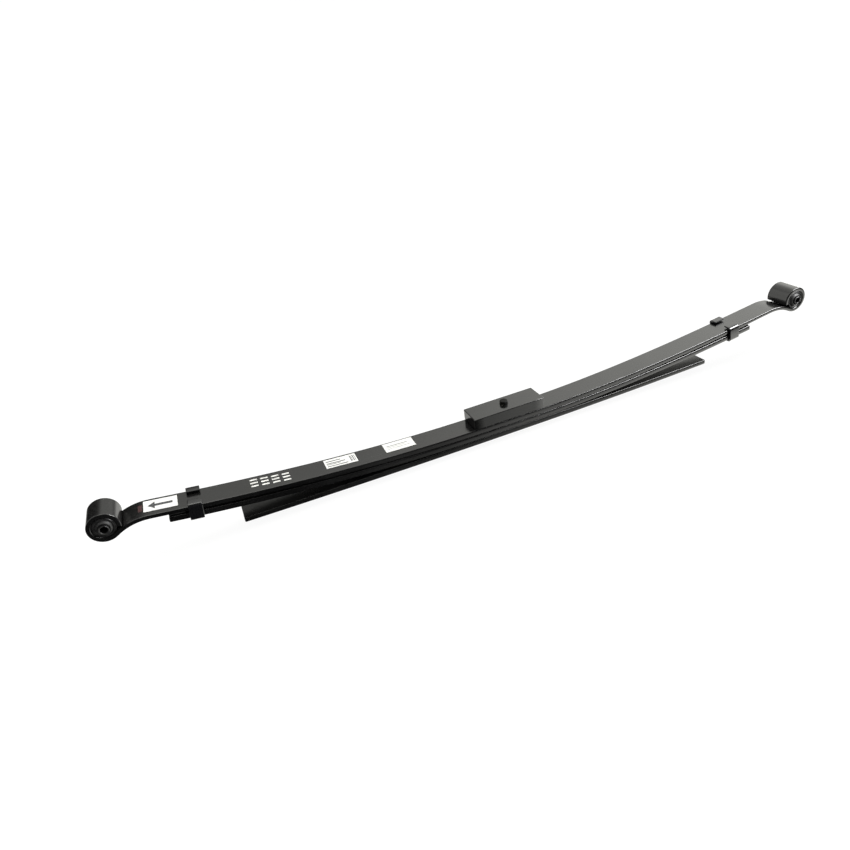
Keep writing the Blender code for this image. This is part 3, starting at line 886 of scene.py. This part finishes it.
def make_block():
    """Saw-cut block with eased edges and a counterbore that takes the bolt head."""
    low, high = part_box("spacer_block")
    centre = Vector(((low.x + high.x) / 2.0, 0.0, 0.0))
    tree = tree_of("spacer_block")
    bolt = Vector((BOLT_X, 0.0, 0.0))
    wide_r = tree.ray_cast(bolt + UP * (high.z - 2.0 * MM), ACROSS)[3]
    bore_r = tree.ray_cast(bolt + UP * (low.z + 2.0 * MM), ACROSS)[3]
    step_z = hit_height(tree, BOLT_X, (wide_r + bore_r) / 2.0, True)
    outline = rounded_rectangle((high.x - low.x) / 2.0, high.y, BLOCK_CORNER_R, 8)
    shell = Shell()

    def place(u, v, w):
        return centre + ALONG * u + ACROSS * v + UP * w

    def hole_rings(outline_points):
        rings = []
        for radius, z, edge in ((wide_r + 3.0 * MM, high.z, 0.0), (wide_r + 0.5 * MM, high.z, 1.0),
                                (wide_r, high.z - 0.5 * MM, 0.5), (wide_r, step_z, 0.0),
                                (bore_r, step_z, 0.0), (bore_r, low.z, 0.0),
                                (bore_r + 3.0 * MM, low.z, 0.0)):
            ring = []
            for point in outline_points:
                out = (centre.xy + point - bolt.xy).normalized()
                ring.append(Vector((*(bolt.xy + out * radius), z)))
            rings.append(shell.ring(ring, [edge] * len(ring)))
        return rings

    prism(shell, outline, place, low.z, high.z, BLOCK_EDGE_R, 0.6 * MM, hole_rings)
    block = make_piece("block_body", shell, [FINISH["block"]], 40.0)
    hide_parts("spacer_block")
    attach(block, "centre_pack")


def make_clip(end):
    """Pressed strap, rolled round the leaves, with softened edges."""
    node = end + "_clip"
    low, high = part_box(node)
    origin = (low + high) / 2.0
    run, rise = leaf_slope("main_leaf", origin.x)
    reach = [(vertex.co - origin).dot(run) for vertex in frame["nodes"][node].data.vertices]
    beside_hole = origin + run * (0.85 * max(reach) + 0.15 * min(reach))
    outline = slice_outline(node, beside_hole, run, rise)
    shell = Shell()

    def place(u, v, w):
        return origin + ACROSS * u + rise * v + run * w

    prism(shell, outline, place, min(reach), max(reach), STRAP_EDGE_R, 0.5 * MM)
    clip = make_piece(end + "_clip_strap", shell, [FINISH["clip"]], 50.0)
    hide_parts(node)
    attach(clip, end + "_arm")


def make_rivet(end):
    """Round-headed rivet through the strap and the second leaf."""
    node = end + "_clip_rivet"
    run, rise = leaf_slope("main_leaf", sum(corner.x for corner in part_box(node)) / 2.0)
    mesh = frame["nodes"][node].data
    middle = sum((vertex.co for vertex in mesh.vertices), Vector()) / len(mesh.vertices)
    heights = [(vertex.co - middle).dot(rise) for vertex in mesh.vertices]
    radii = [((vertex.co - middle) - rise * (vertex.co - middle).dot(rise)).length
             for vertex in mesh.vertices]
    top, low = max(heights), min(heights)
    head_r = max(radii)
    seat = max(h for h, r in zip(heights, radii) if r > 0.98 * head_r)
    shank = max(r for h, r in zip(heights, radii) if h > seat + 1.0 * MM)
    outline = [(0.0, top, 0.0), (shank - 0.5 * MM, top, 0.3), (shank, top - 0.5 * MM, 0.3),
               (shank, seat, 0.0), (head_r, seat, 0.6)]
    for step in range(1, 9):
        turn = math.radians(90.0 * step / 8.0)
        radius = head_r * math.cos(turn) if step < 8 else 0.0
        outline.append((radius, seat + (low - seat) * math.sin(turn), 0.4))
    rivet = turned(end + "_rivet_body", outline, rise, middle, 40, FINISH["clip"],
                   50.0)
    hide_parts(node)
    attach(rivet, end + "_arm")


def make_liner(end):
    """Thin slider pad between the main and the second leaf."""
    node = end + "_tip_liner"
    liner = copy_of(node, end + "_liner_pad", [FINISH["liner"]])
    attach(liner, end + "_arm")


# ---- labels and paint marks ------------------------------------------------------
SHEET_INSET = 0.1 * MM
STENCIL_AT = 0.3215               # of the way from the front eye to the bolt
STENCIL_PITCH = 22.0 * MM
STENCIL_WIDTH = 15.0 * MM
STENCIL_BAR = 5.0 * MM
STENCIL_SPACING = 12.0 * MM
STENCIL_START_Y = 4.0 * MM        # the groups drift across the leaf
STENCIL_DRIFT = 1.4 * MM


def bars(*boxes):
    """Ink wherever one of the boxes (u0, v0, u1, v1), in parts of the label, is."""
    def inked(u, v):
        return any(u0 <= u <= u1 and v0 <= v <= v1 for u0, v0, u1, v1 in boxes)
    return inked


def curl_of(part):
    """0 in the middle of a sheet, rising over its outer twentieth."""
    return max(0.0, abs(part - 0.5) * 2.0 - 0.9)


def sheet_patch(name, tree, low, high, cell, inked, material, thickness, lift):
    """Thin sheet that lies on a leaf's top face, with ink told cell by cell."""
    columns = max(2, round((high.x - low.x) / cell))
    rows = max(2, round((high.y - low.y) / cell))
    shell = Shell()
    index = []
    for i in range(columns + 1):
        line = []
        for j in range(rows + 1):
            u, v = i / columns, j / rows
            x = low.x + (high.x - low.x) * u
            y = low.y + (high.y - low.y) * v
            z = hit_height(tree, x, y, True) + thickness + lift * (curl_of(u) + curl_of(v))
            line.append(Vector((x, y, z)))
        index.append(shell.ring(line, [0.0] * len(line)))
    ink = []
    for i in range(columns):
        for j in range(rows):
            shell.face((index[i][j], index[i + 1][j], index[i + 1][j + 1], index[i][j + 1]))
            ink.append(1.0 if inked((i + 0.5) / columns, (j + 0.5) / rows) else 0.0)
    rim = [line[0] for line in index] + index[-1][1:]
    rim += [line[-1] for line in index[-2::-1]] + index[0][-2:0:-1]
    drop = shell.ring([shell.points[k] - UP * thickness * 0.8 for k in rim], [0.0] * len(rim))
    shell.bridge(drop, rim)
    ink += [0.0] * len(rim)
    mesh = bpy.data.meshes.new(name)
    mesh.from_pydata([tuple(point) for point in shell.points], [], shell.faces)
    edge = mesh.attributes.new("edge_wear", "FLOAT", "POINT")
    edge.data.foreach_set("value", shell.edge)
    printed = mesh.attributes.new("ink", "FLOAT", "FACE")
    printed.data.foreach_set("value", ink)
    return finish_mesh(name, mesh, [material], 50.0)


def make_labels():
    """Generic printed labels: an arrow towards the front eye, and rows of plain bars."""
    def arrow(u, v):
        head = 0.12 <= u <= 0.34 and abs(v - 0.5) <= (u - 0.12) * 1.5
        shaft = 0.34 < u <= 0.86 and abs(v - 0.5) <= 0.11
        return head or shaft

    rows = bars((0.06, 0.70, 0.52, 0.80), (0.06, 0.48, 0.64, 0.55), (0.06, 0.34, 0.50, 0.40),
                (0.06, 0.14, 0.70, 0.24), (0.80, 0.18, 0.83, 0.86), (0.85, 0.18, 0.86, 0.86),
                (0.88, 0.18, 0.92, 0.86), (0.94, 0.18, 0.95, 0.86))
    faint = bars((0.10, 0.62, 0.80, 0.66), (0.10, 0.48, 0.70, 0.51), (0.10, 0.30, 0.86, 0.34))
    inset = Vector((SHEET_INSET, SHEET_INSET, 0.0))
    for node, inked in (("front_label", arrow), ("stock_label", rows), ("inspection_label", faint)):
        low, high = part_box(node)
        sheet = sheet_patch(node + "_sheet", tree_of(node), low + inset, high - inset, 1.0 * MM,
                            inked, FINISH["paper"], 0.0, 0.35 * MM)
        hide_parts(node)
        bend_with(sheet, "front")


def make_stencil_marks():
    """Four groups of three short stencilled bars, a plain batch mark."""
    tree = tree_of("main_leaf")
    start = EYES["front"].x + (BOLT_X - EYES["front"].x) * STENCIL_AT
    for group in range(4):
        x = start + group * STENCIL_PITCH
        middle = STENCIL_START_Y - STENCIL_DRIFT * group
        for row in (-1, 0, 1):
            y = middle + row * STENCIL_SPACING
            low = Vector((x, y - STENCIL_BAR / 2.0, 0.0))
            high = Vector((x + STENCIL_WIDTH, y + STENCIL_BAR / 2.0, 0.0))
            mark = sheet_patch(f"stencil_bar_{group + 1}_{row + 2}", tree, low, high, 1.5 * MM,
                               bars(), FINISH["stencil"], 0.12 * MM, 0.0)
            bend_with(mark, "front")


def make_red_dab():
    """Short inspection smear between the front label and the eye."""
    low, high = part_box("front_label")
    start = Vector((low.x - 10.5 * MM, -9.0 * MM, 0.0))
    end = Vector((low.x - 2.5 * MM, 13.0 * MM, 0.0))
    dab = sheet_patch("marking_dab", tree_of("main_leaf"), start, end, 1.5 * MM, bars(),
                      FINISH["dab"], 0.10 * MM, 0.0)
    bend_with(dab, "front")


# ---- studio ----------------------------------------------------------------------
def make_floor():
    """Pale sweep: a flat disc that curls up into a wall far off."""
    material, tree, shader = new_material("studio_floor")
    grain = tree.nodes.new("ShaderNodeTexNoise")
    grain.inputs["Scale"].default_value = 3.0
    low, high = [(shade, shade, shade, 1.0) for shade in (FLOOR_SHADE, FLOOR_SHADE * 1.05)]
    tree.links.new(mixed(tree, grain.outputs["Fac"], low, high), shader.inputs["Base Color"])
    shader.inputs["Roughness"].default_value = 0.9
    shader.inputs["Specular IOR Level"].default_value = 0.0
    shader.inputs["Emission Color"].default_value = (1.0, 1.0, 1.0, 1.0)
    shader.inputs["Emission Strength"].default_value = FLOOR_GLOW
    middle = Vector((CENTRE.x, CENTRE.y, CAD_LOW.z - FLOOR_GAP))
    profile = [(0.0, 0.0), (FLOOR_FLAT_R, 0.0)]
    for degrees in range(10, 91, 10):
        turn = math.radians(degrees)
        profile.append((FLOOR_FLAT_R + FLOOR_CURL_R * math.sin(turn),
                        FLOOR_CURL_R - FLOOR_CURL_R * math.cos(turn)))
    profile.append((FLOOR_FLAT_R + FLOOR_CURL_R, FLOOR_TOP))
    floor = turned("floor", [(r, z, 0.0) for r, z in profile], UP, middle, TURN_STEPS, material,
                   60.0, None, False)
    floor.visible_glossy = False


def make_world():
    """Soft lights by direction: +X is the rear eye's side, -Y the camera's, which stays dark."""
    world = bpy.data.worlds.new("studio")
    bpy.context.scene.world = world
    world.use_nodes = True
    tree = world.node_tree
    background = tree.nodes["Background"]
    place = tree.nodes.new("ShaderNodeTexCoord")
    split = tree.nodes.new("ShaderNodeSeparateXYZ")
    tree.links.new(place.outputs["Generated"], split.inputs[0])
    x, y, z = split.outputs

    def product(*parts):
        value = parts[0]
        for part in parts[1:]:
            value = maths(tree, "MULTIPLY", value, part)
        return value

    # overhead and behind, closed off towards the front eye unless high up
    open_sky = maths(tree, "MAXIMUM", fade(tree, x, -0.24, 0.10, 0.10, 1.0),
                     fade(tree, z, 0.60, 0.80))
    overhead = product(fade(tree, z, 0.30, 0.66, 0.0, 1.45), open_sky,
                       fade(tree, y, -0.35, 0.15, 0.04, 1.0))
    # a wall of light beyond the rear eye, and a weaker one beyond the front eye
    rear_side = product(fade(tree, x, 0.10, 0.80, 0.0, 1.85), fade(tree, z, -0.05, 0.30),
                        fade(tree, y, -0.20, 0.40))
    front_side = product(fade(tree, x, -0.55, -0.25, 1.7, 0.0), fade(tree, z, -0.35, -0.20),
                         fade(tree, y, 0.15, 0.40), fade(tree, y, 0.66, 0.76, 1.0, 0.0))
    # low light that the leaf sides and the undersides of the eyes reflect
    low_behind = product(fade(tree, z, -0.44, -0.26, 1.0, 0.0), fade(tree, y, -0.10, 0.40))
    low_edge = maths(tree, "MAXIMUM", fade(tree, z, -0.42, -0.20, 3.2, 0.0),
                     product(fade(tree, z, -0.14, 0.05, 2.9, 0.0), fade(tree, y, -0.3, 0.2)))
    low_rear = product(low_edge, fade(tree, x, 0.10, 0.80))
    # a small bright patch straight above
    zenith = fade(tree, z, 0.95, 0.99, 0.0, 5.0)
    total = maths(tree, "ADD", maths(tree, "ADD", overhead, front_side), rear_side)
    total = maths(tree, "ADD", total, zenith)
    total = maths(tree, "ADD", total, maths(tree, "MAXIMUM", low_behind, low_rear))
    tree.links.new(total, background.inputs["Strength"])
    background.inputs["Color"].default_value = (1.0, 1.0, 0.95, 1.0)


def add_lamp(name, light, offset, span):
    """Lamp that faces the spring, with its long side along span."""
    lamp = bpy.data.objects.new(name, light)
    lamp.location = CENTRE + offset
    side = span.normalized()
    back = (offset - side * offset.dot(side)).normalized()
    lamp.rotation_mode = "QUATERNION"
    lamp.rotation_quaternion = Matrix((side, back.cross(side), back)).transposed().to_quaternion()
    bpy.context.scene.collection.objects.link(lamp)
    return lamp


def make_lights():
    """A softbox that only draws the lit edges, and an even fill that leaves the gloss alone."""
    light = bpy.data.lights.new("key_light", "AREA")
    light.shape = "RECTANGLE"
    light.size, light.size_y = KEY_LIGHT_SIZE
    light.energy = KEY_LIGHT_WATTS
    add_lamp("key_light", light, KEY_LIGHT_OFFSET, KEY_LIGHT_SPAN).visible_diffuse = False
    light = bpy.data.lights.new("fill_light", "SUN")
    light.angle = math.radians(FILL_LIGHT_SPREAD_DEG)
    light.energy = FILL_LIGHT_STRENGTH
    add_lamp("fill_light", light, FILL_LIGHT_OFFSET, ALONG).visible_glossy = False


def make_camera():
    """Camera above the near side, left of the middle and rolled a little."""
    camera = bpy.data.objects.new("camera", bpy.data.cameras.new("camera"))
    bpy.context.scene.collection.objects.link(camera)
    camera.data.lens = CAMERA_LENS_MM
    camera.data.sensor_width = 36.0
    camera.data.clip_start = 0.05
    camera.data.clip_end = 200.0
    turn = (Matrix.Rotation(math.radians(-CAMERA_HEADING_DEG), 4, "Z")
            @ Matrix.Rotation(math.radians(90.0 - CAMERA_DOWN_DEG), 4, "X")
            @ Matrix.Rotation(math.radians(CAMERA_ROLL_DEG), 4, "Z"))
    camera.matrix_world = Matrix.Translation(CENTRE + CAMERA_OFFSET) @ turn
    bpy.context.scene.camera = camera


make_camera()
make_world()
make_lights()
make_floor()
make_leaves()
for bush_end in SIDES:
    make_bush(bush_end)
make_bolt()
make_nut()
make_block()
for clip_end in SIDES:
    make_clip(clip_end)
    make_rivet(clip_end)
    make_liner(clip_end)
make_labels()
make_stencil_marks()
make_red_dab()
bpy.context.scene.view_settings.view_transform = "Standard"
